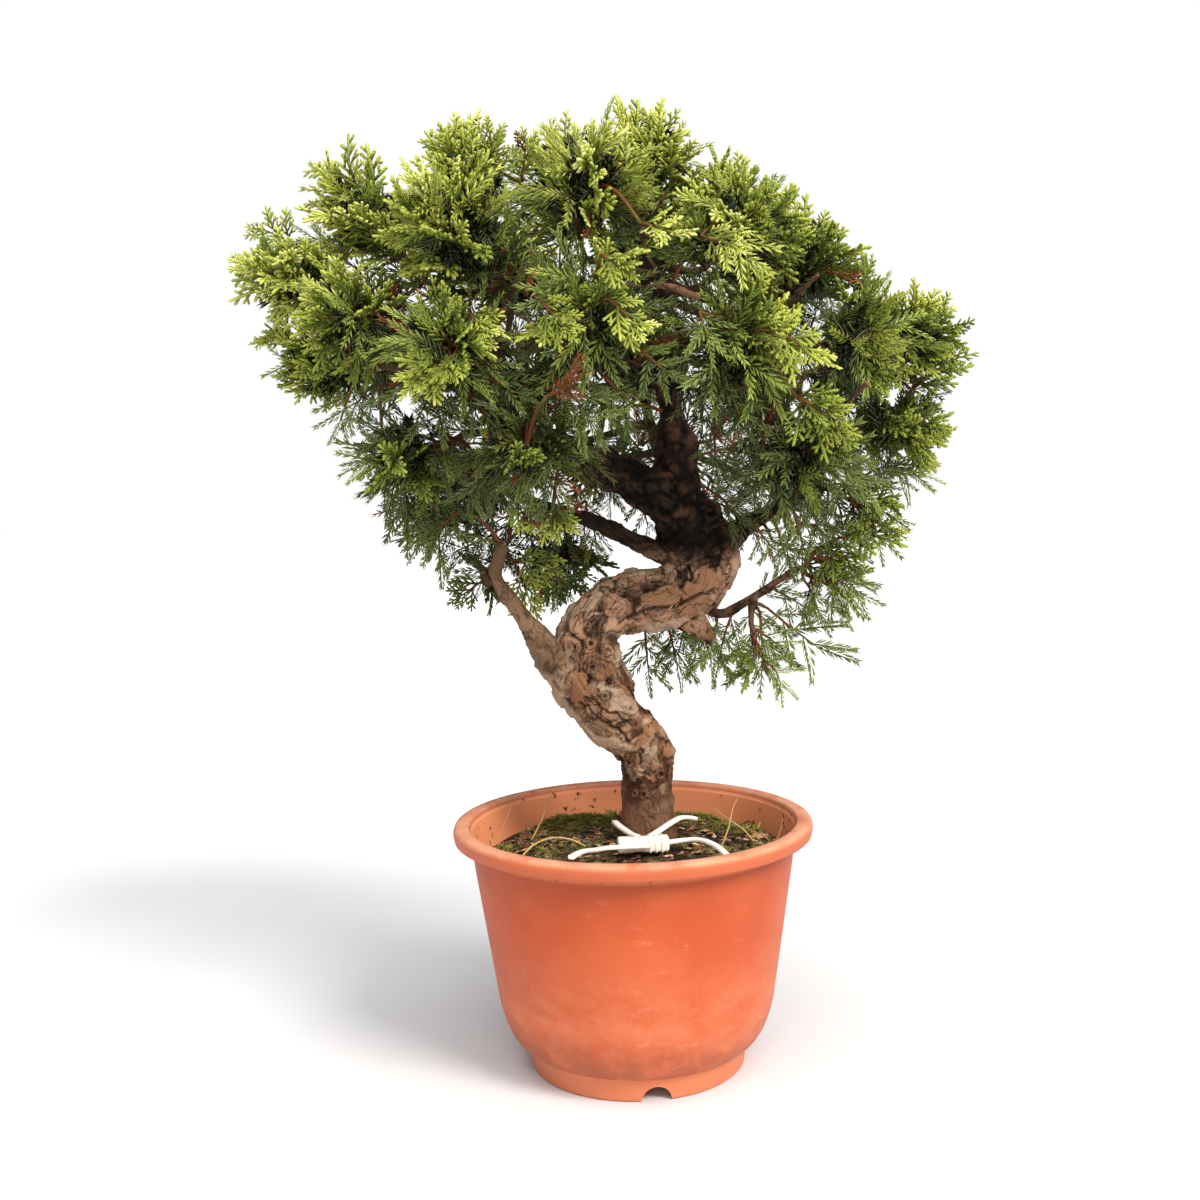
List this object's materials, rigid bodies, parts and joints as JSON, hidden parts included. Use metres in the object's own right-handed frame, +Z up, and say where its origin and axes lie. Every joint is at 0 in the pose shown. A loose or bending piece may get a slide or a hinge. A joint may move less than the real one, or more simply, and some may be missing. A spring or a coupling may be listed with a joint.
{
  "type": "itoigawa juniper bonsai",
  "caption": "Small juniper with an S-shaped trunk and a broad crown of fine scale foliage, growing in a round plastic nursery pot with a hooked rim.",
  "frame": {"origin": "on the surface that the pot stands on, at the centre of the object's box seen from above", "axes": "+Z up; +Y from the side the tree is shown from towards its back; +X to the viewer's right"},
  "size_m": [0.3584, 0.256, 0.476],
  "materials": {
    "pot_plastic": "moulded terracotta-coloured polypropylene, satin, lightly scuffed",
    "potting_soil": "damp dark potting soil, crumbly and matt",
    "moss": "short cushion moss, matt",
    "juniper_bark": "old juniper bark, flaking in plates, matt",
    "dry_bark": "dry bark and dead twig, matt",
    "juniper_foliage": "scale leaves and short needles, waxy and slightly glossy",
    "dry_straw": "dry grass, straw-coloured, satin",
    "tie_plastic": "soft white plastic, slightly glossy"
  },
  "bodies": {
    "root": {"pot": "pot_plastic", "soil": "potting_soil", "trunk_and_branches": "juniper_bark", "bark_chip": "dry_bark", "dry_sprig": "dry_bark", "dry_stem": "dry_straw", "tie_clip": "tie_plastic", "moss_back_left": "moss", "moss_left": "moss", "moss_back_right": "moss", "moss_right": "moss", "grass_left_outer": "dry_straw", "grass_left_inner": "dry_straw", "grass_right_tall": "dry_straw", "grass_right_bent": "dry_straw", "grass_right_outer": "dry_straw", "tie_arm_left": "tie_plastic", "tie_arm_right": "tie_plastic", "tie_tail_left": "tie_plastic", "tie_tail_right": "tie_plastic", "foliage_left_far": "juniper_foliage", "foliage_left_low": "juniper_foliage", "foliage_left_upper": "juniper_foliage", "foliage_top_left": "juniper_foliage", "foliage_top_mid_left": "juniper_foliage", "foliage_top": "juniper_foliage", "foliage_top_right": "juniper_foliage", "foliage_right_upper": "juniper_foliage", "foliage_right_far": "juniper_foliage", "foliage_right_mid": "juniper_foliage", "foliage_right_low": "juniper_foliage", "foliage_right_hanging": "juniper_foliage", "foliage_right_hanging_low": "juniper_foliage", "foliage_left_hanging": "juniper_foliage", "foliage_left_hanging_low": "juniper_foliage", "foliage_middle_hanging": "juniper_foliage", "foliage_back_hanging": "juniper_foliage", "foliage_front_top_left": "juniper_foliage", "foliage_front_top": "juniper_foliage", "foliage_front_top_right": "juniper_foliage", "foliage_front_left": "juniper_foliage", "foliage_front_middle_left": "juniper_foliage", "foliage_front_middle": "juniper_foliage", "foliage_front_middle_right": "juniper_foliage", "foliage_front_right": "juniper_foliage", "foliage_front_low_left": "juniper_foliage", "foliage_front_low_middle": "juniper_foliage", "foliage_front_low_right": "juniper_foliage", "foliage_back_top_left": "juniper_foliage", "foliage_back_top": "juniper_foliage", "foliage_back_top_right": "juniper_foliage", "foliage_back_left": "juniper_foliage", "foliage_back_middle_left": "juniper_foliage", "foliage_back_middle": "juniper_foliage", "foliage_back_middle_right": "juniper_foliage", "foliage_back_right": "juniper_foliage", "foliage_back_low_left": "juniper_foliage", "foliage_back_low": "juniper_foliage", "foliage_back_low_right": "juniper_foliage"}
  },
  "joints": []
}
